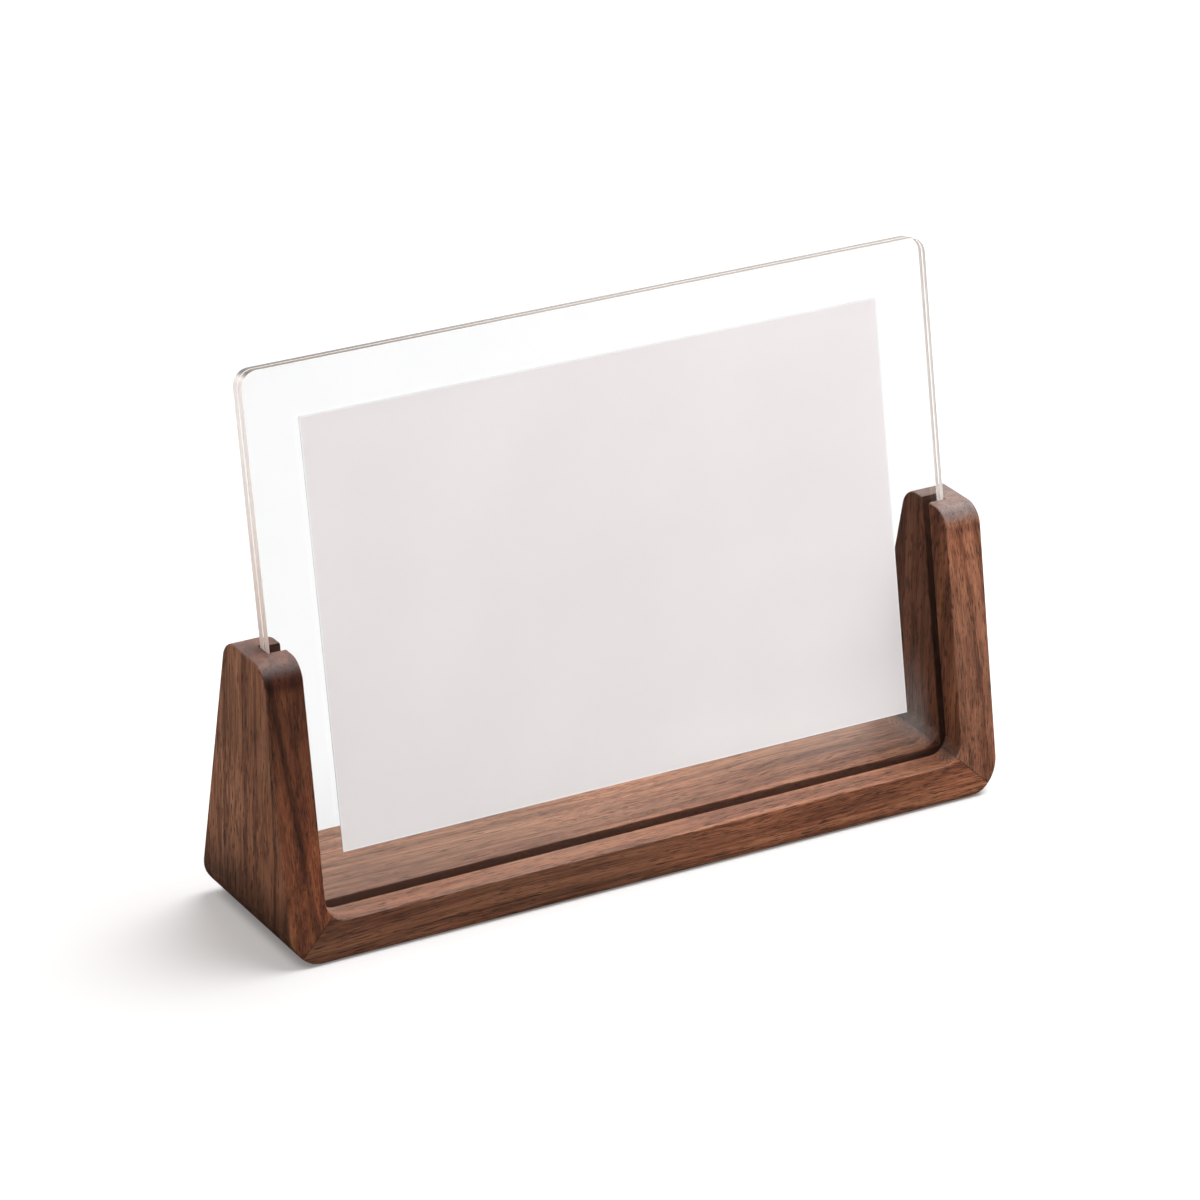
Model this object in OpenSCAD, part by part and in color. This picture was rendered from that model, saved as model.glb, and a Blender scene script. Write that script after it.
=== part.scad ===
// Desk photo frame: a mitred walnut U that leans back and holds two clear panels with a print between them.
// Millimetres. X runs along the base, Y from the front to the back, Z up.
// The origin is on the underside, in the middle of the foot.

/* [Wooden U] */
// Length of the base, outside face to outside face of the posts
frame_w = 191; // [176:1:320]
// Depth of the foot, front to back
foot_depth = 45.5; // [42:0.5:80]
// Height of the posts
post_h = 70; // [50:0.5:85]
// Thickness of the posts
post_t = 9.8; // [8:0.1:16]
// Thickness of the base board
base_t = 9.4; // [8:0.1:16]
// Lean of the front face, in degrees from upright
front_lean = 11; // [4:0.5:12]
// Lean of the rear face, in degrees from upright
rear_lean = 11.5; // [4:0.5:15]

/* [Rounded edges] */
// Radius of the outer lower corners of the U
outer_corner_r = 9; // [3:0.5:9]
// Radius of the inner corners of the U
inner_corner_r = 5; // [2:0.5:8]
// Radius along the front of the post tops
front_top_r = 5.5; // [2:0.5:9]
// Radius along the back of the post tops
rear_top_r = 5.5; // [2:0.5:6]
// Radius along the back of the foot
rear_foot_r = 5; // [2:0.5:8]
// Radius along the front of the foot
front_foot_r = 1.4; // [0.5:0.1:3]

/* [Groove] */
// Width of the land in front of the groove, on top of the base
front_land = 6.7; // [5:0.1:9]
// Wood left outside the groove in each post
groove_wall = 5.1; // [4:0.1:6]
// Wood left under the groove in the base
groove_floor = 4.9; // [4:0.1:6]

/* [Panels and print] */
// Height of the clear panels
panel_h = 130; // [120:1:190]
// Thickness of one clear panel
panel_t = 2; // [1.5:0.1:3]
// Radius of the corners of the panels
panel_corner_r = 4; // [2:0.5:6]
// Lean of the panels, in degrees from upright
panel_lean = 11.5; // [6:0.5:12]
// Width of the print
print_w = 152.4; // [90:0.1:180]
// Height of the print
print_h = 101.6; // [70:0.1:110]
// Thickness of the print
print_t = 0.3; // [0.2:0.05:0.5]
// Height of the print's lower edge above the lower edge of the panels
print_rise = 15.7; // [6:0.1:18]

/* [Mitre dowels] */
// Diameter of a dowel
dowel_d = 3; // [2:0.5:3.5]
// Length of a dowel
dowel_len = 7; // [5:0.5:7.5]
// Distance of the rear dowel from the back of the foot
dowel_setback = 16; // [12:0.5:20]

/* [Clearances] */
// Gap between the panels and each side of the groove
groove_gap = 0.1; // [0.1:0.05:0.4]
// Gap between the end of the panels and the end wall of the groove
end_gap = 0.3; // [0.2:0.05:0.6]
// Gap between the print and each panel
print_gap = 0.05; // [0.05:0.05:0.1]
// Gap under the panels
seat_gap = 0.05; // [0.05:0.05:0.2]
// Gap around a dowel in its bore
dowel_gap = 0.05; // [0.05:0.05:0.1]
// Depth of a bore past the end of its dowel
bore_extra = 0.2; // [0.1:0.1:0.4]

/* [Hidden] */
$fn = 96;

walnut = [0.42, 0.27, 0.2];
clear_acrylic = [0.87, 0.9, 0.9, 0.35];
blank_paper = [0.9, 0.88, 0.88];
pale_dowel = [0.8, 0.68, 0.5];

// How far every cut runs past the wood
overrun = 5;
// Size of what is cut off a corner, as a multiple of its radius
waste_share = 2;
// How much larger a round is drawn, so that it crosses the faces beside it and does not only touch them
hair = 0.002;

// How far a rounded foot stays inside the sharp corner of its two faces
function corner_reach(r, lean) = r * (tan(lean) + 1 / cos(lean) - 1);

// The sharp front and rear corners of the foot, and the two faces that rise from them
front_foot_y = -foot_depth / 2 - corner_reach(front_foot_r, front_lean);
rear_foot_y = foot_depth / 2 + corner_reach(rear_foot_r, rear_lean);
function front_y(z) = front_foot_y + z * tan(front_lean);
function rear_y(z) = rear_foot_y - z * tan(rear_lean);

// The groove holds both panels, the print and their gaps, and its middle plane leans with the panels
groove_w = 2 * panel_t + print_t + 2 * print_gap + 2 * groove_gap;
groove_half_y = groove_w / 2 / cos(panel_lean);
groove_y = front_y(base_t) + front_land + groove_half_y - base_t * tan(panel_lean);
function groove_mid_y(z) = groove_y + z * tan(panel_lean);

// Heights measured up the leaning plane, from the underside of the base
groove_bottom = groove_floor / cos(panel_lean);
groove_top = (post_h + overrun) / cos(panel_lean) + overrun;
panel_bottom = groove_bottom + seat_gap;
print_bottom = panel_bottom + print_rise;

side_reach = frame_w / 2 + overrun;
groove_reach = frame_w / 2 - groove_wall;
panel_w = 2 * (groove_reach - end_gap);

// The mitre runs from the sharp outer corner to the sharp inner corner of the U
mitre_angle = atan2(base_t, post_t);
mitre_x = (frame_w - post_t) / 2;
mitre_z = base_t / 2;
mitre_share = 1;
front_dowel_y = (front_y(mitre_z) + groove_mid_y(mitre_z) - groove_half_y) / 2;
rear_dowel_y = foot_depth / 2 - dowel_setback;

function unit(v) = v / norm(v);
function half_angle(a, b, c) = acos(unit(a - b) * unit(c - b)) / 2;

// A convex outline whose corners are rounded, each with its own radius
module rounded_outline(points, radii) {
    n = len(points);
    difference() {
        polygon(points);
        for (i = [0 : n - 1]) {
            if (radii[i] > 0)
                corner_waste(points[(i + n - 1) % n], points[i], points[(i + 1) % n], radii[i]);
        }
    }
}

// What a round of radius r takes off corner b of the outline that runs from a to c
module corner_waste(a, b, c, r) {
    half = half_angle(a, b, c);
    to_a = unit(a - b) * r / tan(half);
    to_c = unit(c - b) * r / tan(half);
    middle = b + unit(to_a + to_c) * r / sin(half);
    spoke_a = b + to_a - middle;
    spoke_c = b + to_c - middle;
    translate(middle) difference() {
        polygon([[0, 0], waste_share * spoke_a, waste_share * (b - middle), waste_share * spoke_c]);
        circle(r + hair);
    }
}

// Stands an outline drawn in X and Z up and gives it a depth along Y, centred
module upright(depth) {
    translate([0, depth / 2, 0]) rotate([90, 0, 0]) linear_extrude(depth) children();
}

// Runs a side view, drawn in Y and Z, along the whole base
module along_base() {
    translate([-side_reach, 0, 0]) rotate([90, 0, 90]) linear_extrude(2 * side_reach) children();
}

// Corners of the side view: the foot, two leaning faces and the top
foot_front = [front_y(0), 0];
foot_rear = [rear_y(0), 0];
top_rear = [rear_y(post_h), post_h];
top_front = [front_y(post_h), post_h];

module side_outline() {
    rounded_outline([foot_front, foot_rear, top_rear, top_front], [0, 0, rear_top_r, front_top_r]);
}

// What the rounds along the front and the back of the foot take off
module foot_waste() {
    along_base() {
        corner_waste(foot_front, foot_rear, top_rear, rear_foot_r);
        corner_waste(top_front, foot_front, foot_rear, front_foot_r);
    }
}

// A tray outline with rounded lower corners, open upwards
module tray_outline(half_w, floor_z, top_z, r) {
    rounded_outline([[-half_w, floor_z], [half_w, floor_z], [half_w, top_z], [-half_w, top_z]], [r, r, 0, 0]);
}

module u_outline() {
    top = post_h + overrun;
    difference() {
        tray_outline(frame_w / 2, 0, top, outer_corner_r);
        tray_outline(frame_w / 2 - post_t, base_t, top + overrun, inner_corner_r);
    }
}

// Puts what is drawn upright around the origin into the leaning plane of the panels
module in_leaning_plane() {
    translate([0, groove_y, 0]) rotate([-panel_lean, 0, 0]) children();
}

// The one groove that runs down both posts and along the base
module groove() {
    in_leaning_plane() upright(groove_w)
        tray_outline(groove_reach, groove_bottom, groove_top, panel_corner_r);
}

// The whole U, before it is cut into boards at the mitres
module u_body() {
    difference() {
        intersection() {
            upright(2 * foot_depth) u_outline();
            along_base() side_outline();
        }
        foot_waste();
        groove();
    }
}

// A point on the line of the right mitre: 0 is the outer corner, 1 the inner corner
function on_mitre(share) = [frame_w / 2 - share * post_t, share * base_t];
mitre_out = on_mitre(-mitre_share);
mitre_in = on_mitre(1 + mitre_share);

module base_zone() {
    upright(2 * foot_depth) polygon([[-mitre_out.x, mitre_out.y], mitre_out, mitre_in, [-mitre_in.x, mitre_in.y]]);
}

module right_zone() {
    top = post_h + overrun;
    upright(2 * foot_depth) polygon([mitre_out, [mitre_out.x, top], [mitre_in.x, top], mitre_in]);
}

// A round bar square to the right mitre, halfway along it
module across_mitre(d, length, y) {
    translate([mitre_x, y, mitre_z]) rotate([0, mitre_angle, 0]) cylinder(h = length, d = d, center = true);
}

module right_bores() {
    for (y = [front_dowel_y, rear_dowel_y])
        across_mitre(dowel_d + 2 * dowel_gap, dowel_len + 2 * bore_extra, y);
}

module dowel(y) {
    color(pale_dowel) across_mitre(dowel_d, dowel_len, y);
}

module base_board() {
    color(walnut) difference() {
        intersection() {
            u_body();
            base_zone();
        }
        right_bores();
        mirror([1, 0, 0]) right_bores();
    }
}

module right_post() {
    color(walnut) difference() {
        intersection() {
            u_body();
            right_zone();
        }
        right_bores();
    }
}

module left_post() {
    mirror([1, 0, 0]) right_post();
}

// A clear panel, whose inner face is offset from the middle plane to one side: -1 front, 1 rear
module clear_panel(side) {
    half_w = panel_w / 2;
    top = panel_bottom + panel_h;
    offset_y = side * (print_t / 2 + print_gap + panel_t / 2);
    color(clear_acrylic) in_leaning_plane() translate([0, offset_y, 0]) upright(panel_t)
        rounded_outline(
            [[-half_w, panel_bottom], [half_w, panel_bottom], [half_w, top], [-half_w, top]],
            [for (i = [0 : 3]) panel_corner_r]);
}

module front_panel() {
    clear_panel(-1);
}

module rear_panel() {
    clear_panel(1);
}

module photo_print() {
    color(blank_paper) in_leaning_plane()
        translate([-print_w / 2, -print_t / 2, print_bottom]) cube([print_w, print_t, print_h]);
}

module right_front_dowel() {
    dowel(front_dowel_y);
}

module right_rear_dowel() {
    dowel(rear_dowel_y);
}

module left_front_dowel() {
    mirror([1, 0, 0]) dowel(front_dowel_y);
}

module left_rear_dowel() {
    mirror([1, 0, 0]) dowel(rear_dowel_y);
}

base_board();
left_post();
right_post();
front_panel();
rear_panel();
photo_print();
left_front_dowel();
left_rear_dowel();
right_front_dowel();
right_rear_dowel();
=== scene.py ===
import math

import bmesh
import bpy
from mathutils import Matrix, Vector


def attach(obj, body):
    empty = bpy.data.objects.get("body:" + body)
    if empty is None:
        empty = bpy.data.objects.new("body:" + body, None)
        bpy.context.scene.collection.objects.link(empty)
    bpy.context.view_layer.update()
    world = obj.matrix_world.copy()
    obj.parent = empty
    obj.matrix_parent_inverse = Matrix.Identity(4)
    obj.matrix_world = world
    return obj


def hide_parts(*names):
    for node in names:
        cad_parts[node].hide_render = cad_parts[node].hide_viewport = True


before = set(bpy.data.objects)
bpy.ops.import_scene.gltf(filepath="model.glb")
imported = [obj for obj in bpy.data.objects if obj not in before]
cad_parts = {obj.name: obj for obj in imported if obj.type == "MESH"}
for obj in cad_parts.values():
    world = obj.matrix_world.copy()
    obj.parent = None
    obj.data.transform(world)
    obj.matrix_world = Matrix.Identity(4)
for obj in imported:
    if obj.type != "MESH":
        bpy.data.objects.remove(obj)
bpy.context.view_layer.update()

mm = 0.001
print("photo frame: packed model loaded")


def tangent(degrees):
    return math.tan(math.radians(degrees))


def cosine(degrees):
    return math.cos(math.radians(degrees))


def sine(degrees):
    return math.sin(math.radians(degrees))


# Modelling steps that every piece uses

modelling = {
    "merge": 1e-6,  # metres, within which points count as one
    "tolerance": 0.001,  # millimetres, within which two places count as the same
    "facing": 0.9,  # how far a normal points one way before its face counts as facing that way
    "sharp": 35,  # degrees, past which an edge is eased
    "smooth": 24,  # degrees, up to which faces are shaded as one
}


def makeActive(piece):
    bpy.ops.object.select_all(action="DESELECT")
    piece.select_set(True)
    bpy.context.view_layer.objects.active = piece


def startEdit(piece):
    makeActive(piece)
    bpy.ops.object.mode_set(mode="EDIT")
    bpy.ops.mesh.select_all(action="SELECT")


def endEdit():
    bpy.ops.object.mode_set(mode="OBJECT")


def applyPlace():
    bpy.ops.object.transform_apply(location=True, rotation=True, scale=True)


def addBox(name, low, high):  # two opposite corners, in millimetres
    bpy.ops.object.select_all(action="DESELECT")
    middle = [(a + b) / 2 * mm for a, b in zip(low, high)]
    size = [(b - a) * mm for a, b in zip(low, high)]
    bpy.ops.mesh.primitive_cube_add(size=1, location=middle, scale=size)
    piece = bpy.context.object
    piece.name = piece.data.name = name
    applyPlace()
    return piece


def copyPiece(piece, name):
    makeActive(piece)
    bpy.ops.object.duplicate()
    twin = bpy.context.object
    twin.name = twin.data.name = name
    return twin


def pick(piece, kind, test):  # leaves selected only what passes the test
    bpy.ops.mesh.select_mode(type=kind)
    bpy.ops.mesh.select_all(action="DESELECT")
    mesh = bmesh.from_edit_mesh(piece.data)
    for part in {"VERT": mesh.verts, "EDGE": mesh.edges, "FACE": mesh.faces}[kind]:
        if test(part):
            part.select_set(True)
    mesh.select_flush_mode()
    bmesh.update_edit_mesh(piece.data)


def pickSharp():
    bpy.ops.mesh.select_all(action="DESELECT")
    bpy.ops.mesh.select_mode(type="EDGE")
    bpy.ops.mesh.edges_select_sharp(sharpness=math.radians(modelling["sharp"]))


def keepPicked(piece, test):  # lets go of the picked edges that fail the test
    mesh = bmesh.from_edit_mesh(piece.data)
    for edge in mesh.edges:
        if edge.select and not test(edge):
            edge.select_set(False)
    mesh.select_flush_mode()
    bmesh.update_edit_mesh(piece.data)


def at(vertex, axis):  # in millimetres
    return vertex.co[axis] / mm


def same(a, b):
    return abs(a - b) < modelling["tolerance"]


def alongY(edge):
    a, b = edge.verts
    return same(at(a, 0), at(b, 0)) and same(at(a, 2), at(b, 2))


def alongYAt(edge, height):
    return alongY(edge) and same(at(edge.verts[0], 2), height)


def bevel(reach, segments):
    bpy.ops.mesh.bevel(
        offset=reach * mm, segments=segments, profile=0.5, affect="EDGES", clamp_overlap=False
    )


def bisect(point, normal, **what):
    bpy.ops.mesh.select_all(action="SELECT")
    bpy.ops.mesh.bisect(
        plane_co=[c * mm for c in point], plane_no=normal, threshold=modelling["merge"], **what
    )


def cutAway(piece, tool):
    makeActive(piece)
    step = piece.modifiers.new("cut", "BOOLEAN")
    step.operation, step.solver, step.object = "DIFFERENCE", "EXACT", tool
    bpy.ops.object.modifier_apply(modifier=step.name)
    bpy.data.objects.remove(tool)


def tipBack(piece, angle, away):  # leans an upright piece back about X, then moves it along Y
    makeActive(piece)
    piece.rotation_euler = (-math.radians(angle), 0, 0)
    piece.location = (0, away * mm, 0)
    applyPlace()


def finishMesh(piece):
    startEdit(piece)
    bpy.ops.mesh.remove_doubles(threshold=modelling["merge"])
    bpy.ops.mesh.normals_make_consistent(inside=False)
    endEdit()
    bpy.ops.object.shade_smooth_by_angle(angle=math.radians(modelling["smooth"]))
    step = piece.modifiers.new("even shading", "WEIGHTED_NORMAL")
    step.keep_sharp = True
    bpy.ops.object.modifier_apply(modifier=step.name)


# The walnut U: one body, rounded, grooved and eased, then cut into boards at the mitres.
# Sizes here and further down are in millimetres, and angles in degrees

wood = {
    "width": 191, "footDepth": 45.5, "postHeight": 70, "postThick": 9.8, "baseThick": 9.4,
    "frontLean": 11, "rearLean": 11.5,
    "outerRound": 9, "innerRound": 5, "topRound": 5.5, "rearFootRound": 5, "frontFootRound": 1.4,
    "easedEdge": 0.45, "mitreGap": 0.015,
    "cornerSegments": 14, "innerSegments": 10, "topSegments": 9, "footSegments": 7, "easedSegments": 3,
    "flat": 0.01,  # radians, within which faces are joined into one
    "levelReach": 0.0002,  # within which points lie on one level
    "boards": {"walnutBase": (-1, 1), "walnutPostLeft": (-1,), "walnutPostRight": (1,)},  # mitred sides
}
groove = {
    "wide": 4.6, "lean": 11.5, "reach": 90.4, "floor": 4.9, "cornerRound": 4, "land": 6.7,
    "segments": 8, "past": 12, "easedEdge": 0.2, "easedSegments": 2,
    "rimInside": 0.5, "rimAbove": 1,  # how far the rim stays from the groove's end and from its floor
}
bore = {"across": 3.1, "deep": 7.4, "rearFromFoot": 16, "sides": 32}

halfWide = wood["width"] / 2
halfInside = halfWide - wood["postThick"]
halfDeep = wood["footDepth"] / 2


def footFace(side):  # side -1 is the front, 1 the rear; gives the face's place at any height
    lean, r = (
        (wood["frontLean"], wood["frontFootRound"]) if side < 0
        else (wood["rearLean"], wood["rearFootRound"])
    )
    toTangent = r / tangent((90 - lean) / 2)
    sharp = halfDeep + r * (tangent(lean) + 1 / cosine(lean) - 1)

    def place(z):
        if z >= toTangent * cosine(lean):
            return side * (sharp - z * tangent(lean))
        return side * (sharp - toTangent + math.sqrt(max(0, r * r - (z - r) ** 2)))

    count = wood["footSegments"]
    levels = [r * (1 - cosine((90 + lean) * k / count)) for k in range(1, count + 1)]
    return place, levels


frontAt, frontLevels = footFace(-1)
rearAt, rearLevels = footFace(1)
bothFaces = ((-1, frontAt, wood["frontLean"]), (1, rearAt, wood["rearLean"]))
grooveHalf = groove["wide"] / 2 / cosine(groove["lean"])
grooveMiddle = (
    frontAt(wood["baseThick"]) + groove["land"] + grooveHalf - wood["baseThick"] * tangent(groove["lean"])
)
grooveLow = groove["floor"] / cosine(groove["lean"])  # up the leaning plane


def makeSlab():  # the base board, with both posts pulled up from its ends
    slab = addBox("wood", (-halfWide, -halfDeep, 0), (halfWide, halfDeep, wood["baseThick"]))
    startEdit(slab)
    for side in (-1, 1):
        bisect((side * halfInside, 0, 0), (1, 0, 0))
    pick(slab, "FACE", lambda f: f.normal.z > modelling["facing"]
         and abs(f.calc_center_median().x) > halfInside * mm)
    rise = (wood["postHeight"] - wood["baseThick"]) * mm
    bpy.ops.mesh.extrude_region_move(TRANSFORM_OT_translate={"value": (0, 0, rise)})
    bpy.ops.mesh.select_all(action="SELECT")
    bpy.ops.mesh.dissolve_limited(angle_limit=wood["flat"])
    pick(slab, "EDGE", lambda e: alongYAt(e, 0))
    bevel(wood["outerRound"], wood["cornerSegments"])
    pick(slab, "EDGE", lambda e: alongYAt(e, wood["baseThick"])
         and same(abs(at(e.verts[0], 0)), halfInside))
    bevel(wood["innerRound"], wood["innerSegments"])
    endEdit()
    return slab


def leanFaces(slab):  # leans both faces and rolls the foot in, one level at a time
    startEdit(slab)
    for level in sorted(frontLevels + rearLevels):
        bisect((0, 0, level), (0, 0, 1))
    mesh = bmesh.from_edit_mesh(slab.data)
    heights = sorted({round(at(v, 2), 4) for v in mesh.verts})
    for side, faceAt, _ in bothFaces:
        for height in heights:
            pick(slab, "VERT", lambda v: v.co.y * side > 0
                 and abs(at(v, 2) - height) < wood["levelReach"])
            bpy.ops.transform.translate(value=(0, (faceAt(height) - side * halfDeep) * mm, 0))
    endEdit()


def roundTops(slab):
    startEdit(slab)
    top = wood["postHeight"]
    for _, faceAt, lean in bothFaces:
        pick(slab, "EDGE", lambda e: all(
            same(at(v, 2), top) and same(at(v, 1), faceAt(top)) for v in e.verts))
        bevel(wood["topRound"] / tangent((90 + lean) / 2), wood["topSegments"])
    pickSharp()
    bevel(wood["easedEdge"], wood["easedSegments"])
    endEdit()


def onRim(edge):  # true along the groove's opening, on the post tops and inside the U
    onTop = all(same(at(v, 2), wood["postHeight"]) for v in edge.verts)
    inside = groove["reach"] - groove["rimInside"]
    above = groove["floor"] + groove["rimAbove"]
    return onTop or all(abs(at(v, 0)) < inside and at(v, 2) > above for v in edge.verts)


def cutGroove(slab):  # one leaning tray shape cuts the groove down both posts and along the base
    half = groove["wide"] / 2
    high = wood["postHeight"] + groove["past"]
    tray = addBox("tray", (-groove["reach"], -half, grooveLow), (groove["reach"], half, high))
    startEdit(tray)
    pick(tray, "EDGE", lambda e: alongYAt(e, grooveLow))
    bevel(groove["cornerRound"], groove["segments"])
    endEdit()
    tipBack(tray, groove["lean"], grooveMiddle)
    cutAway(slab, tray)
    startEdit(slab)
    pickSharp()
    keepPicked(slab, onRim)
    bevel(groove["easedEdge"], groove["easedSegments"])
    endEdit()


def cutBoards(slab):
    boards = {}
    for name, sides in wood["boards"].items():
        board = copyPiece(slab, name)
        startEdit(board)
        isBase = len(sides) == 2
        gap = wood["mitreGap"] * (-1 if isBase else 1)
        for side in sides:  # each mitre starts at the sharp outer corner of the U
            square = Vector((side * wood["baseThick"], 0, wood["postThick"])).normalized()
            start = Vector((side * halfWide, 0, 0)) + square * gap
            bisect(start, square, use_fill=True, clear_outer=isBase, clear_inner=not isBase)
        endEdit()
        boards[name] = board
    bpy.data.objects.remove(slab)
    return boards


def boreBoards(boards):
    angle = math.atan2(wood["baseThick"], wood["postThick"])
    middleX, middleZ = (wood["width"] - wood["postThick"]) / 2, wood["baseThick"] / 2
    grooveFront = grooveMiddle + middleZ * tangent(groove["lean"]) - grooveHalf
    places = ((frontAt(middleZ) + grooveFront) / 2, halfDeep - bore["rearFromFoot"])
    for name, sides in wood["boards"].items():
        for side in sides:
            for y in places:
                bpy.ops.object.select_all(action="DESELECT")
                bpy.ops.mesh.primitive_cylinder_add(
                    vertices=bore["sides"], radius=bore["across"] / 2 * mm, depth=bore["deep"] * mm,
                    location=(side * middleX * mm, y * mm, middleZ * mm), rotation=(0, side * angle, 0))
                drill = bpy.context.object
                applyPlace()
                cutAway(boards[name], drill)


slab = makeSlab()
leanFaces(slab)
roundTops(slab)
cutGroove(slab)
boards = cutBoards(slab)
boreBoards(boards)
for board in boards.values():
    finishMesh(board)
print("walnut boards:", {name: len(board.data.polygons) for name, board in boards.items()})


# The two clear panels and the print between them, all in one leaning plane

panel = {
    "halfWide": 90.1, "high": 130, "thick": 2, "seat": 0.05,
    "cornerRound": 4, "segments": 10, "polishedEdge": 0.15, "polishedSegments": 2,
    "clearFrom": 0.95,  # how square to the sheet a face is before it is a clear one
}
sheet = {"wide": 152.4, "high": 101.6, "thick": 0.3, "gap": 0.05, "rise": 15.7, "printFrom": 0.3}

panelLow = grooveLow + panel["seat"]


def makePanel(name, side):
    half = panel["thick"] / 2
    middle = side * (sheet["thick"] / 2 + sheet["gap"] + half)
    piece = addBox(name, (-panel["halfWide"], middle - half, panelLow),
                   (panel["halfWide"], middle + half, panelLow + panel["high"]))
    startEdit(piece)
    pick(piece, "EDGE", alongY)
    bevel(panel["cornerRound"], panel["segments"])
    pickSharp()
    bevel(panel["polishedEdge"], panel["polishedSegments"])
    endEdit()
    tipBack(piece, groove["lean"], grooveMiddle)
    finishMesh(piece)
    return piece


def makePrint():  # its front has a narrow white border round the printed face
    low = panelLow + sheet["rise"]
    halfSheet, half = sheet["wide"] / 2, sheet["thick"] / 2
    piece = addBox("paperPrint", (-halfSheet, -half, low), (halfSheet, half, low + sheet["high"]))
    startEdit(piece)
    pick(piece, "FACE", lambda f: f.normal.y < -modelling["facing"])
    bpy.ops.mesh.inset(thickness=sheet["printFrom"] * mm)
    endEdit()
    tipBack(piece, groove["lean"], grooveMiddle)
    return piece


frontPanel = makePanel("acrylicFront", -1)
rearPanel = makePanel("acrylicRear", 1)
paperPrint = makePrint()
print("panels and print made")


# Steps that every material uses

def link(tree, socket, value):
    if isinstance(value, bpy.types.NodeSocket):
        tree.links.new(value, socket)
    else:
        socket.default_value = value


def add(tree, kind, settings=None, **inputs):  # inputs are given by name, or by place as i0, i1, i2
    node = tree.nodes.new("ShaderNode" + kind)
    for key, value in (settings or {}).items():
        setattr(node, key, value)
    for key, value in inputs.items():
        which = int(key[1:]) if key in ("i0", "i1", "i2") else key.replace("_", " ")
        link(tree, node.inputs[which], value)
    return node


def maths(tree, operation, a, b=0.0, c=0.0, clamp=False):
    settings = {"operation": operation, "use_clamp": clamp}
    return add(tree, "Math", settings, i0=a, i1=b, i2=c).outputs[0]


def vectors(tree, operation, a, b):
    return add(tree, "VectorMath", {"operation": operation}, i0=a, i1=b).outputs[0]


def along(tree, where, direction):  # how far a point, or a normal, reaches in a direction
    node = add(tree, "VectorMath", {"operation": "DOT_PRODUCT"}, i0=where, i1=direction)
    return node.outputs["Value"]


def stretched(tree, where, scale, offset=(0, 0, 0)):
    return add(tree, "Mapping", Vector=where, Location=offset, Scale=scale).outputs[0]


def inMillimetres(tree, where, offset=(0, 0, 0)):
    return stretched(tree, where, (1 / mm, 1 / mm, 1 / mm), offset)


def noise(tree, where, scale, detail=2.0, rough=0.5, offset=(0, 0, 0), output="Fac"):
    return add(
        tree, "TexNoise", Vector=stretched(tree, where, scale, offset),
        Scale=1.0, Detail=detail, Roughness=rough,
    ).outputs[output]


def fromTo(tree, value, low, high, newLow=0.0, newHigh=1.0, kind="SMOOTHSTEP"):
    node = add(tree, "MapRange", {"interpolation_type": kind, "clamp": True}, Value=value,
               From_Min=low, From_Max=high, To_Min=newLow, To_Max=newHigh)
    return node.outputs["Result"]


def evenly(tree, value, low, high, newLow=0.0, newHigh=1.0):
    return fromTo(tree, value, low, high, newLow, newHigh, "LINEAR")


def mixColour(tree, share, a, b, blend="MIX"):
    node = add(tree, "Mix", {"data_type": "RGBA", "blend_type": blend, "clamp_factor": True})
    for socket, value in zip((node.inputs["Factor"], node.inputs[6], node.inputs[7]), (share, a, b)):
        link(tree, socket, value)
    return node.outputs[2]


def ramp(tree, value, stops):
    node = add(tree, "ValToRGB", Fac=value)
    marks = node.color_ramp.elements
    while len(marks) < len(stops):
        marks.new(0.5)
    for mark, (place, colour) in zip(marks, stops):
        mark.position = place
        mark.color = colour
    return node.outputs["Color"]


def linear(red, green, blue):  # a colour given as 0 to 255, as in a picture
    def one(c):
        c /= 255
        return c / 12.92 if c <= 0.04045 else ((c + 0.055) / 1.055) ** 2.4
    return (one(red), one(green), one(blue), 1.0)


def newMaterial(name):
    material = bpy.data.materials.new(name)
    material.use_nodes = True
    tree = material.node_tree
    tree.nodes.clear()
    shader = add(tree, "BsdfPrincipled")
    add(tree, "OutputMaterial", Surface=shader.outputs[0])
    return material, tree, shader


def swapShader(tree, share, shader, other):  # shows the other shader where the share is 1
    both = add(tree, "MixShader", i0=share, i1=shader.outputs[0], i2=other.outputs[0])
    link(tree, tree.get_output_node("ALL").inputs["Surface"], both.outputs[0])


def bump(tree, shader, height, strength, depth):
    node = add(tree, "Bump", Strength=strength, Distance=depth, Height=height)
    link(tree, shader.inputs["Normal"], node.outputs[0])


def dress(piece, *materials):
    piece.data.materials.clear()
    for material in materials:
        piece.data.materials.append(material)


# Walnut. A pattern's size is in cycles per millimetre: along the grain, then twice across it

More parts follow.
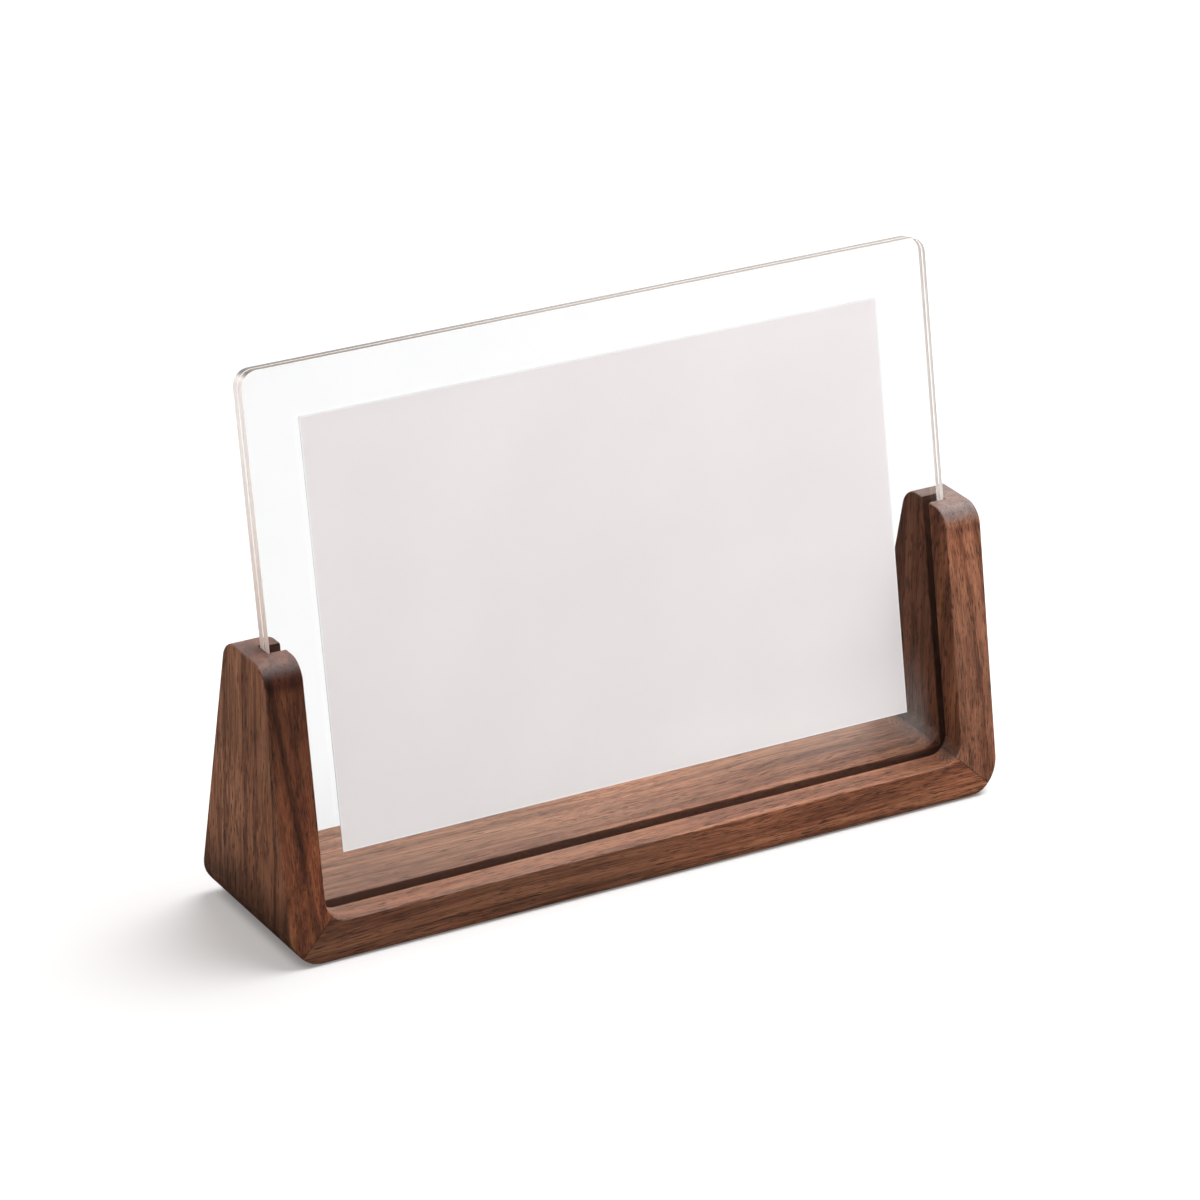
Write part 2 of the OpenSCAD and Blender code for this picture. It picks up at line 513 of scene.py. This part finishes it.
walnutLook = {
    "dark": linear(60, 33, 20), "brown": linear(98, 58, 37), "tan": linear(140, 90, 62),
    "pale": linear(168, 116, 84), "levels": (0.0, 0.35, 0.65, 1.0),
    "red": linear(142, 78, 46), "grey": linear(98, 68, 50), "tintFrom": (0.4, 0.62), "tintShare": 0.22,
    # the endGrain colour is the end grain's own, greyed and purpled further as a painted sheen on the post
    # tops
    "pore": linear(34, 18, 11), "endGrain": linear(86, 66, 61), "grooveShade": linear(52, 24, 11),
    "waver": (0.008, 0.03, 0.03), "waverReach": (0, 9, 9),
    "unevenRings": (0.004, 0.10, 0.10), "unevenYears": 1.6,
    "lateWood": (0.35, 0.93), "lateDark": -0.17,
    "streaks": (0.012, 0.45, 0.45), "streakDetail": (4.0, 0.55), "streaksFrom": (0.3, 0.7),
    "streakLight": 0.42, "baseLight": 0.35,
    "fibres": (0.06, 3.4, 3.4), "fibreDetail": (3.0, 0.65), "fibreLight": 1.3,
    "patches": (0.012, 0.05, 0.05),
    "shortPores": (0.25, 4.8, 4.8), "shortFrom": 0.8, "shortEdge": 0.07,
    "moreInLateWood": -0.04, "moreInPatches": -0.38,
    "longPores": (0.16, 4.0, 4.0), "longOffset": (37, 11, 5), "longFrom": (0.62, 0.68),
    "endFrom": (0.35, 0.75), "endSpecks": 2.6, "speckFrom": (0.45, 1.2), "endKeeps": 0.3, "endCover": 0.85,
    "toneFacing": (0.55, 0.9),
    # painted shade inside the groove: where it reaches, how it deepens and how strong it is
    "grooveMargin": 0.04, "grooveDepth": (0.0, 0.45), "grooveCover": 0.9,
    "glueReach": (0.05, 0.2), "glueDark": 0.6,
    "roughness": 0.42, "poreRough": 0.2, "fibreRough": 0.15, "endRough": 0.12, "grooveRough": 0.4,
    "shine": 0.36, "fibreHeight": 0.35, "relief": 0.5, "poreDepth": 0.00006,
}
dowelLook = {
    **walnutLook,
    "dark": linear(176, 142, 100), "brown": linear(200, 168, 124), "tan": linear(216, 187, 146),
    "pale": linear(228, 204, 166),
    "red": linear(216, 180, 136), "grey": linear(206, 180, 142),
    "pore": linear(158, 124, 84), "endGrain": linear(196, 164, 120),
    "roughness": 0.55,
}


def paintLightAndToneOver(tree, look, colour, place, tone):  # painted light and shade, and the placed streak: a slow change of depth along one direction
    share = evenly(tree, along(tree, place.outputs["Object"], tone["towards"]),
                   tone["from"] * mm, tone["to"] * mm)
    tint = tone.get("tint", (1, 1, 1))
    stops = []
    for spot, depth in tone["depths"]:
        depths = depth if isinstance(depth, tuple) else (depth, depth, depth)
        stops.append((spot, (*(d * t / 2 for d, t in zip(depths, tint)), 1)))
    darker = mixColour(tree, 1.0, colour, ramp(tree, share, stops), "MULTIPLY")
    darker = mixColour(tree, 1.0, darker, (2, 2, 2, 1), "MULTIPLY")  # a ramp holds no more than 1
    facing = fromTo(tree, along(tree, place.outputs["Normal"], tone["facing"]), *look["toneFacing"])
    return mixColour(tree, facing, colour, darker)


def makeWalnut(name, grainAxis, offset, pith, ringSpacing, tones=(), fineness=1.0, poreShare=0.85,
               look=walnutLook):
    material, tree, shader = newMaterial(name)
    place = add(tree, "TexCoord")
    xyz = add(tree, "SeparateXYZ", Vector=place.outputs["Object"])
    turn = (0, 1, 2) if grainAxis == 0 else (2, 1, 0)
    turned = add(tree, "CombineXYZ", **{letter: xyz.outputs[axis] for letter, axis in zip("XYZ", turn)})
    inMm = inMillimetres(tree, turned.outputs[0], offset)  # grain runs along X here

    waver = noise(tree, inMm, look["waver"], 1.0, output="Color")
    swing = vectors(tree, "SUBTRACT", waver, (0.5, 0.5, 0.5))
    grain = vectors(tree, "ADD", inMm, vectors(tree, "MULTIPLY", swing, look["waverReach"]))

    def atFineness(size):
        return size[0], size[1] * fineness, size[2]

    parts = add(tree, "SeparateXYZ", Vector=grain)
    squares = [maths(tree, "POWER", maths(tree, "SUBTRACT", part, middle), 2.0)
               for part, middle in zip(parts.outputs[1:], pith)]
    fromPith = maths(tree, "SQRT", maths(tree, "ADD", *squares))
    uneven = noise(tree, grain, look["unevenRings"])
    years = maths(tree, "DIVIDE", fromPith, ringSpacing)
    phase = maths(tree, "FRACT", maths(tree, "MULTIPLY_ADD", uneven, look["unevenYears"], years))
    starts, ends = look["lateWood"]
    lateWood = maths(tree, "SUBTRACT", fromTo(tree, phase, starts, ends), fromTo(tree, phase, ends, 1.0))

    streaks = noise(tree, grain, look["streaks"], *look["streakDetail"])
    fibres = noise(tree, grain, atFineness(look["fibres"]), *look["fibreDetail"])
    fibreSwing = maths(tree, "SUBTRACT", fibres, 0.5)
    patches = noise(tree, grain, look["patches"])

    level = evenly(tree, streaks, *look["streaksFrom"])
    level = maths(tree, "MULTIPLY_ADD", level, look["streakLight"], look["baseLight"])
    level = maths(tree, "MULTIPLY_ADD", lateWood, look["lateDark"], level)
    level = maths(tree, "MULTIPLY_ADD", fibreSwing, look["fibreLight"], level)
    shades = [look[shade] for shade in ("dark", "brown", "tan", "pale")]
    colour = ramp(tree, level, list(zip(look["levels"], shades)))
    tinted = mixColour(tree, fromTo(tree, patches, *look["tintFrom"]), look["grey"], look["red"])
    colour = mixColour(tree, look["tintShare"], colour, tinted)

    shortPores = noise(tree, grain, atFineness(look["shortPores"]), 1.0)
    longPores = noise(tree, grain, atFineness(look["longPores"]), 1.0, offset=look["longOffset"])
    crowd = maths(tree, "MULTIPLY_ADD", lateWood, look["moreInLateWood"], look["shortFrom"])
    crowd = maths(tree, "MULTIPLY_ADD", patches, look["moreInPatches"], crowd)
    pores = fromTo(tree, shortPores, crowd, maths(tree, "ADD", crowd, look["shortEdge"]))
    pores = maths(tree, "MAXIMUM", pores, fromTo(tree, longPores, *look["longFrom"]), clamp=True)
    colour = mixColour(tree, maths(tree, "MULTIPLY", pores, poreShare), colour, look["pore"])

    # end grain, where the surface cuts across the fibres; its colour also carries a painted sheen
    facing = add(tree, "SeparateXYZ", Vector=place.outputs["Normal"])
    endShare = fromTo(tree, maths(tree, "ABSOLUTE", facing.outputs[grainAxis]), *look["endFrom"])
    specks = fromTo(tree, noise(tree, inMm, [look["endSpecks"]] * 3), *look["speckFrom"])
    endColour = mixColour(tree, specks, look["endGrain"], look["pore"])
    endColour = mixColour(tree, look["endKeeps"], endColour, colour)
    colour = mixColour(tree, maths(tree, "MULTIPLY", endShare, look["endCover"]), colour, endColour)

    for tone in tones:
        colour = paintLightAndToneOver(tree, look, colour, place, tone)

    # painted shade: the inside of the groove is darker, more so deeper down
    square = (0, cosine(groove["lean"]), -sine(groove["lean"]))
    offMiddle = maths(tree, "SUBTRACT", along(tree, place.outputs["Object"], square),
                      grooveMiddle * cosine(groove["lean"]) * mm)
    offMiddle = maths(tree, "ABSOLUTE", offMiddle)
    side = maths(tree, "ABSOLUTE", xyz.outputs[0])
    margin = look["grooveMargin"]
    grooveShade = maths(tree, "LESS_THAN", offMiddle, (groove["wide"] / 2 + margin) * mm)
    for sign, value, edge in (("LESS_THAN", side, groove["reach"] + margin),
                              ("GREATER_THAN", xyz.outputs[2], groove["floor"] - margin)):
        grooveShade = maths(tree, "MULTIPLY", grooveShade, maths(tree, sign, value, edge * mm))
    belowTop = maths(tree, "SUBTRACT", wood["baseThick"] * mm, xyz.outputs[2])
    pastInside = maths(tree, "SUBTRACT", side, halfInside * mm)
    first, last = look["grooveDepth"]
    deep = evenly(tree, maths(tree, "MAXIMUM", belowTop, pastInside),
                  first * mm, last * mm, 0, look["grooveCover"])
    colour = mixColour(tree, maths(tree, "MULTIPLY", grooveShade, deep), colour, look["grooveShade"])

    # a thin dark glue line along each mitre
    slope = math.hypot(wood["postThick"], wood["baseThick"])
    pastSide = maths(tree, "SUBTRACT", side, halfWide * mm)
    offMitre = maths(tree, "MULTIPLY", pastSide, wood["baseThick"] / slope)
    offMitre = maths(tree, "MULTIPLY_ADD", xyz.outputs[2], wood["postThick"] / slope, offMitre)
    first, last = look["glueReach"]
    glue = fromTo(tree, maths(tree, "ABSOLUTE", offMitre), first * mm, last * mm, look["glueDark"], 0)
    link(tree, shader.inputs["Base Color"], mixColour(tree, glue, colour, look["pore"]))

    rough = maths(tree, "MULTIPLY_ADD", pores, look["poreRough"], look["roughness"])
    rough = maths(tree, "MULTIPLY_ADD", fibreSwing, look["fibreRough"], rough)
    rough = maths(tree, "MULTIPLY_ADD", endShare, look["endRough"], rough)
    rough = maths(tree, "MULTIPLY_ADD", grooveShade, look["grooveRough"], rough, clamp=True)
    link(tree, shader.inputs["Roughness"], rough)
    shader.inputs["Specular IOR Level"].default_value = look["shine"]
    height = maths(tree, "MULTIPLY_ADD", fibres, look["fibreHeight"], maths(tree, "MULTIPLY", pores, -1.0))
    bump(tree, shader, height, look["relief"], look["poreDepth"])
    return material


# Clear acrylic, and its sawn and polished edge, which is paler and less clear than the faces

acrylicLook = {
    "clear": (1.0, 1.0, 1.0, 1), "cloud": (0.993, 0.995, 0.995, 1), "clouds": 0.05, "cloudFrom": (0.3, 0.7),
    "ior": 1.49, "shine": 0.2, "letsThrough": (0.97, 0.97, 0.97, 1),
}
edgeLook = {
    "colour": linear(222, 213, 208), "pale": linear(240, 233, 228), "low": linear(205, 188, 178),
    "saw": (0.05, 1.2, 0.05), "sawFrom": (0.1, 0.9), "sawDepth": 0.00001, "relief": 0.05,
    "top": (0.26, 0.25, 0.24, 1), "topLeft": (0.12, 0.105, 0.09, 1), "topFrom": (-80, 10),
    "facingUp": (0.5, 0.9),
    "reflectedWoodBelow": (70, 120), "toRight": (-60, 60), "paintedGlow": 0.42, "paintedGlowRight": 0.49,
    "roughness": 0.22, "sawRough": 0.1,
}


def makeAcrylic():
    material, tree, shader = newMaterial("clearAcrylic")
    inMm = inMillimetres(tree, add(tree, "TexCoord").outputs["Object"])
    haze = fromTo(tree, noise(tree, inMm, [acrylicLook["clouds"]] * 3), *acrylicLook["cloudFrom"])
    link(tree, shader.inputs["Base Color"],
         mixColour(tree, haze, acrylicLook["clear"], acrylicLook["cloud"]))
    shader.inputs["Roughness"].default_value = 0.0
    shader.inputs["IOR"].default_value = acrylicLook["ior"]
    shader.inputs["Specular IOR Level"].default_value = acrylicLook["shine"]
    shader.inputs["Transmission Weight"].default_value = 1.0
    shadowRays = add(tree, "LightPath").outputs["Is Shadow Ray"]
    swapShader(tree, shadowRays, shader, add(tree, "BsdfTransparent", Color=acrylicLook["letsThrough"]))
    return material


def makeAcrylicEdge():
    look = edgeLook
    material, tree, shader = newMaterial("polishedEdge")
    place = add(tree, "TexCoord")
    inMm = inMillimetres(tree, place.outputs["Object"])
    parts = add(tree, "SeparateXYZ", Vector=inMm)
    facing = add(tree, "SeparateXYZ", Vector=place.outputs["Normal"])
    saw = noise(tree, inMm, look["saw"], 1.0)
    colour = mixColour(tree, fromTo(tree, saw, *look["sawFrom"]), look["colour"], look["pale"])
    toRight = fromTo(tree, parts.outputs[0], *look["toRight"])
    # painted reflection of the wood: the edge is browner low down, towards the left
    low = fromTo(tree, parts.outputs[2], *look["reflectedWoodBelow"], 1, 0)
    low = maths(tree, "MULTIPLY", low, maths(tree, "SUBTRACT", 1.0, toRight))
    colour = mixColour(tree, low, colour, look["low"])
    # painted shade: the edge faces that look up are darkened, more so on the left
    paintedTopShade = fromTo(tree, parts.outputs[0], *look["topFrom"])
    paintedTopShade = mixColour(tree, paintedTopShade, look["topLeft"], look["top"])
    top = mixColour(tree, 1.0, colour, paintedTopShade, "MULTIPLY")
    level = fromTo(tree, maths(tree, "ABSOLUTE", facing.outputs[2]), *look["facingUp"])
    link(tree, shader.inputs["Base Color"], mixColour(tree, level, colour, top))
    # painted glow: the upright edges give off light, standing in for light led along inside the sheet
    link(tree, shader.inputs["Emission Color"], colour)
    paintedGlow = evenly(tree, toRight, 0, 1, look["paintedGlow"], look["paintedGlowRight"])
    link(tree, shader.inputs["Emission Strength"], fromTo(tree, level, 0, 1, paintedGlow, 0.0))
    rough = maths(tree, "MULTIPLY_ADD", saw, look["sawRough"], look["roughness"])
    link(tree, shader.inputs["Roughness"], rough)
    shader.inputs["IOR"].default_value = acrylicLook["ior"]
    bump(tree, shader, saw, look["relief"], look["sawDepth"])
    return material


# Paper, for the blank printed face and for the rest of the sheet

paperLook = {
    "printed": (linear(233, 227, 227), linear(236, 230, 230)),
    "white": (linear(240, 240, 240), linear(246, 246, 246)),
    "cut": (0.42, 0.4, 0.39, 1), "cutFacing": (0.6, 0.9),
    "tooth": 2.2, "toothDetail": (3.0, 0.6), "toothShare": 0.3,
    "clouds": 0.02, "cloudShare": 0.7, "paleFrom": (0.35, 0.65),
    "printedRoughness": 0.6, "whiteRoughness": 0.7, "toothRough": 0.1,
    "relief": 0.12, "toothDepth": 0.00002,
}


def makePaper(name, colours, roughness):
    look = paperLook
    material, tree, shader = newMaterial(name)
    place = add(tree, "TexCoord")
    inMm = inMillimetres(tree, place.outputs["Object"])
    tooth = noise(tree, inMm, [look["tooth"]] * 3, *look["toothDetail"])
    cloud = maths(tree, "MULTIPLY", noise(tree, inMm, [look["clouds"]] * 3), look["cloudShare"])
    share = maths(tree, "MULTIPLY_ADD", tooth, look["toothShare"], cloud)
    colour = mixColour(tree, fromTo(tree, share, *look["paleFrom"]), *colours)
    facing = add(tree, "SeparateXYZ", Vector=place.outputs["Normal"])
    cut = fromTo(tree, facing.outputs[2], *look["cutFacing"])  # painted shade: the upper cut edge is darkened
    link(tree, shader.inputs["Base Color"], mixColour(tree, cut, colour, look["cut"]))
    rough = maths(tree, "MULTIPLY_ADD", tooth, look["toothRough"], roughness)
    link(tree, shader.inputs["Roughness"], rough)
    bump(tree, shader, tooth, look["relief"], look["toothDepth"])
    return material


# Painted light and shade along each board, for faces that look one way, with one placed dark streak of the
# wood's figure on the left post. A depth is a factor, or one per colour

paintedLightAndTones = {
    "base": [
        # painted light: the front face is darker on the left and brighter on the right, as the lamp falls
        {"towards": (1, 0, 0), "from": -95, "to": 95, "facing": (0, -1, 0), "tint": (0.95, 0.89, 0.83),
         "depths": [(0, 0.82), (0.3, 0.82), (0.5, 0.95), (0.65, 1.2), (1, 1.3)]},
        # painted light: the top brightens towards the right, nearer the lamp
        {"towards": (1, 0, 0), "from": -95, "to": 95, "facing": (0, 0, 1), "tint": (1, 1.04, 1.08),
         "depths": [(0, 1.0), (0.35, 1.05), (0.5, 1.35), (0.7, 1.2), (1, 1.15)]},
        # painted light and sheen: the top strip in front of the panels is lightened and greyed
        {"towards": (0, 1, 0), "from": -10, "to": -3, "facing": (0, 0, 1),
         "depths": [(0, 1.0), (1, (1.5, 1.72, 1.96))]},
    ],
    "left": [
        # painted shade: the front of the left post is darkened and reddened, more towards the top
        {"towards": (0, 0, 1), "from": 6, "to": 70, "facing": (0, -1, 0), "tint": (1.06, 0.78, 0.53),
         "depths": [(0, 0.8), (0.25, 0.92), (0.45, 0.74), (0.6, 0.6), (0.8, 0.54), (1, 0.57)]},
        {"towards": (1, 0, 0.1), "from": -91, "to": -85, "facing": (0, -1, 0),
         "depths": [(0, 1), (0.35, 1.05), (0.5, 0.5), (0.65, 0.6), (0.75, 1.1), (1, 1)]},
        # painted shade and light: the end face is darkened near the floor and lightened higher up
        {"towards": (0, 0, 1), "from": 0, "to": 70, "facing": (-1, 0, 0),
         "depths": [(0, 0.5), (0.14, 0.7), (0.25, 1.3), (0.45, 1.5), (0.6, 1.3), (0.72, 1.2), (1, 1.5)]},
        # painted sheen: the end face turns lighter and greyer towards the rear
        {"towards": (0, 1, 0), "from": -18, "to": 18, "facing": (-1, 0, 0),
         "depths": [(0, (0.9, 0.87, 0.84)), (0.4, 1.0), (1, (1.15, 1.25, 1.3))]},
        # painted shade: the top of the left post is darkened slightly and tinted
        {"towards": (0, 0, 1), "from": 60, "to": 70, "facing": (0, -0.5, 0.86), "tint": (0.9, 0.84, 0.87),
         "depths": [(0, 1), (1, 1)]},
        # painted shade: the front round under the top is darkened where the lamp would shine on it
        {"towards": (0, 0, 1), "from": 63, "to": 70, "facing": (0, -0.8, 0.6),
         "depths": [(0, 1), (0.3, (0.56, 0.44, 0.4)), (0.85, (0.56, 0.44, 0.4)), (0.97, 1)]},
    ],
    "right": [
        # painted sheen: the top of the right post is tinted grey-purple
        {"towards": (0, 0, 1), "from": 60, "to": 70, "facing": (0, -0.5, 0.86), "tint": (1.15, 1.6, 2.0),
         "depths": [(0, 1), (1, 1)]},
        # painted shade: the front round under the top is darkened a little
        {"towards": (0, 0, 1), "from": 63, "to": 70, "facing": (0, -0.8, 0.6),
         "depths": [(0, 1), (0.3, (0.75, 0.73, 0.74)), (0.85, (0.75, 0.73, 0.74)), (0.97, 1)]},
        # painted light: the front of the right post is lightened towards the top
        {"towards": (0, 0, 1), "from": 6, "to": 70, "facing": (0, -1, 0), "tint": (0.95, 0.85, 0.82),
         "depths": [(0, 1.0), (0.4, 1.1), (0.6, 1.4), (0.85, 1.5), (1, 1.6)]},
        # painted shade: the inner face looking left is darkened, most near the floor
        {"towards": (0, 0, 1), "from": 8, "to": 70, "facing": (-1, 0, 0), "tint": (1.25, 1.12, 1.0),
         "depths": [(0, 0.33), (0.15, 0.66), (0.3, 0.83), (1, 0.72)]},
    ],
}
walnutBase = makeWalnut("oiledWalnutBase", 0, (0, 0, 0), (14, -60), 5.5, paintedLightAndTones["base"], 1.0, 0.72)
walnutLeft = makeWalnut("oiledWalnutLeft", 2, (210, 31, 47), (-16, 40), 5, paintedLightAndTones["left"], 0.4, 0.6)
walnutRight = makeWalnut("oiledWalnutRight", 2, (420, 83, 29), (40, 60), 6, paintedLightAndTones["right"], 0.4, 0.7)
dowelWood = makeWalnut("paleDowelWood", 2, (0, 0, 0), (0, 0), 3, poreShare=0.4, look=dowelLook)
acrylic = makeAcrylic()
acrylicEdge = makeAcrylicEdge()
printedFace = makePaper("blankPrintFace", paperLook["printed"], paperLook["printedRoughness"])
paperWhite = makePaper("paperWhite", paperLook["white"], paperLook["whiteRoughness"])

dress(boards["walnutBase"], walnutBase)
dress(boards["walnutPostLeft"], walnutLeft)
dress(boards["walnutPostRight"], walnutRight)
for piece in (frontPanel, rearPanel):
    dress(piece, acrylic, acrylicEdge)
    square = Vector((0, -cosine(groove["lean"]), sine(groove["lean"])))
    for face in piece.data.polygons:
        face.material_index = int(abs(face.normal.dot(square)) < panel["clearFrom"])
dress(paperPrint, paperWhite, printedFace)
fronts = [face for face in paperPrint.data.polygons if face.normal.y < -modelling["facing"]]
max(fronts, key=lambda face: face.area).material_index = 1
for name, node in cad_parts.items():
    if name.endswith("dowel"):
        for spot in node.material_slots:
            spot.material = dowelWood
print("materials made")


# What each piece stands for and moves with

for board, node in (
    ("walnutBase", "base_board"),
    ("walnutPostLeft", "left_post"),
    ("walnutPostRight", "right_post"),
):
    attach(boards[board], "wood_frame")
    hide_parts(node)
for piece, body, slotName in (
    (frontPanel, "front_panel", "clear_acrylic"),
    (rearPanel, "rear_panel", "clear_acrylic"),
    (paperPrint, "photo_print", "print_paper"),
):
    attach(piece, body)
    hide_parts(body)


# Camera, surround, floor and lamp

camera = {  # solved from the photo: metres, radians, and the picture's own pixels
    "place": (-0.5978458, -1.0056764, 0.5997470), "yaw": -0.5339394, "pitch": -0.4306052,
    "roll": 0.0153865, "focal": 5560.3594, "picture": 1200, "sensor": 36, "sees": (0.05, 100),
}
surround = {
    "light": 0.38, "throughPanels": 1.14, "seen": 1.0,
    "shine": 1.2, "dim": 0.06, "behindFrom": (-0.1, 0.55), "aboveFrom": (0.45, 0.9),
}
floorLook = {
    "size": 30, "low": 0.02, "roughness": 0.9,
    "colour": (0.8, 0.8, 0.8, 1), "seen": (0.46, 0.46, 0.46, 1), "throughPanels": (0.38, 0.38, 0.38, 1),
    "warmBounceTint": (1.02, 0.965, 0.945, 1), "lift": 0.37, "liftThroughPanels": 0.415,
    "farFrom": (0.5, 1.6), "farLift": 0.6,
    "contactReach": 0.004, "contactFrom": (0.2, 0.7), "contactLift": 0.45, "contactSamples": 8,
    "patchX": (0.1, 0.16), "patchY": (-0.36, -0.13), "patchColour": (1, 0.95, 0.91, 1),
    "mirroredPatch": 0.5, "mirroredElsewhere": 0.02,
}
lamp = {"place": (0.4, 0.08, 0.9), "aim": (0, 0, 0.03), "size": 1.0, "power": 20}


def makeCamera():
    yaw, pitch, roll = camera["yaw"], camera["pitch"], camera["roll"]
    ahead = Vector((-math.sin(yaw) * math.cos(pitch), math.cos(yaw) * math.cos(pitch), math.sin(pitch)))
    right = ahead.cross(Vector((0, 0, 1))).normalized()
    up = right.cross(ahead)
    rolledRight = right * math.cos(roll) + up * math.sin(roll)
    rolledUp = up * math.cos(roll) - right * math.sin(roll)
    lens = bpy.data.cameras.new("view")
    lens.sensor_width = camera["sensor"]
    lens.lens = camera["focal"] * camera["sensor"] / camera["picture"]
    lens.clip_start, lens.clip_end = camera["sees"]
    viewer = bpy.data.objects.new("view", lens)
    turned = Matrix((rolledRight, rolledUp, -ahead)).transposed().to_4x4()
    viewer.matrix_world = Matrix.Translation(camera["place"]) @ turned
    bpy.context.scene.collection.objects.link(viewer)
    bpy.context.scene.camera = viewer


def mirroredRays(tree, rays):  # 1 for rays that come off a shiny face, straight or out through a panel
    bounced = maths(tree, "MINIMUM", rays.outputs["Glossy Depth"], 1.0)
    shiny = maths(tree, "MAXIMUM", rays.outputs["Is Glossy Ray"], rays.outputs["Is Transmission Ray"])
    return maths(tree, "MULTIPLY", bounced, shiny)


def makeSurround():
    world = bpy.data.worlds.new("studio")
    bpy.context.scene.world = world
    world.use_nodes = True
    tree = world.node_tree
    back = next(n for n in tree.nodes if n.type == "BACKGROUND")
    back.inputs["Color"].default_value = (1, 1, 1, 1)
    rays = add(tree, "LightPath")
    where = add(tree, "SeparateXYZ", Vector=add(tree, "TexCoord").outputs["Generated"])
    # shiny faces mirror a wide pale sweep behind and over the frame, and a dim room in front of it
    behind = fromTo(tree, where.outputs["Y"], *surround["behindFrom"])
    above = fromTo(tree, where.outputs["Z"], *surround["aboveFrom"])
    sweep = maths(tree, "MAXIMUM", above, behind)
    mirrored = evenly(tree, sweep, 0, 1, surround["dim"], surround["shine"])
    strength = evenly(tree, rays.outputs["Is Transmission Ray"], 0, 1,
                      surround["light"], surround["throughPanels"])
    strength = evenly(tree, mirroredRays(tree, rays), 0, 1, strength, mirrored)
    strength = evenly(tree, rays.outputs["Is Camera Ray"], 0, 1, strength, surround["seen"])
    link(tree, back.inputs["Strength"], strength)


def makeFloor():
    look = floorLook
    bpy.ops.object.select_all(action="DESELECT")
    bpy.ops.mesh.primitive_plane_add(size=look["size"], location=(0, 0, -look["low"] * mm))
    floor = bpy.context.object
    floor.name = "floor"
    material, tree, shader = newMaterial("paleFloor")
    shader.inputs["Roughness"].default_value = look["roughness"]
    shader.inputs["Specular IOR Level"].default_value = 0.0
    rays = add(tree, "LightPath")
    straight, through = rays.outputs["Is Camera Ray"], rays.outputs["Is Transmission Ray"]
    # painted warm bounce: the lift the camera sees is tinted warm, so the floor's shadow looks lit by the
    # wood
    link(tree, shader.inputs["Emission Color"], mixColour(tree, straight, (1, 1, 1, 1), look["warmBounceTint"]))
    colour = mixColour(tree, through, look["colour"], look["throughPanels"])
    link(tree, shader.inputs["Base Color"], mixColour(tree, straight, colour, look["seen"]))

    # the floor that the camera sees is lifted to white; a painted contact shadow lifts it less where a
    # piece stands close over it
    place = add(tree, "TexCoord").outputs["Object"]
    away = add(tree, "VectorMath", {"operation": "LENGTH"}, i0=place).outputs["Value"]
    lift = maths(tree, "MULTIPLY", through, look["liftThroughPanels"])
    lift = maths(tree, "MULTIPLY_ADD", straight, look["lift"], lift)
    farLift = fromTo(tree, away, *look["farFrom"], 0, look["farLift"])  # far off, the lamp gives less light
    lift = maths(tree, "MULTIPLY_ADD", maths(tree, "MAXIMUM", straight, through), farLift, lift)
    samples = {"samples": look["contactSamples"]}
    contact = add(tree, "AmbientOcclusion", samples, Distance=look["contactReach"])
    paintedContactShadow = fromTo(tree, contact.outputs["AO"], *look["contactFrom"], look["contactLift"], 1)
    link(tree, shader.inputs["Emission Strength"], maths(tree, "MULTIPLY", lift, paintedContactShadow))

    # the panels mirror a pale patch of floor in their lower right corner, and almost nothing elsewhere
    where = add(tree, "SeparateXYZ", Vector=place)
    patch = maths(tree, "MULTIPLY", fromTo(tree, where.outputs["Y"], *look["patchY"]),
                  fromTo(tree, where.outputs["X"], *look["patchX"]))
    patch = evenly(tree, patch, 0, 1, look["mirroredElsewhere"], look["mirroredPatch"])
    mirrored = add(tree, "Emission", Color=look["patchColour"], Strength=patch)
    swapShader(tree, mirroredRays(tree, rays), shader, mirrored)
    dress(floor, material)


def makeLamp():
    light = bpy.data.lights.new("overhead", "AREA")
    light.shape, light.size, light.energy = "DISK", lamp["size"], lamp["power"]
    holder = bpy.data.objects.new("overhead", light)
    holder.location = lamp["place"]
    aim = Vector(lamp["aim"]) - Vector(lamp["place"])
    holder.rotation_euler = aim.to_track_quat("-Z", "Y").to_euler()
    bpy.context.scene.collection.objects.link(holder)


makeCamera()
makeSurround()
makeFloor()
makeLamp()
bpy.context.scene.view_settings.view_transform = "Standard"
print("camera, surround, floor and lamp made")

bpy.context.view_layer.update()
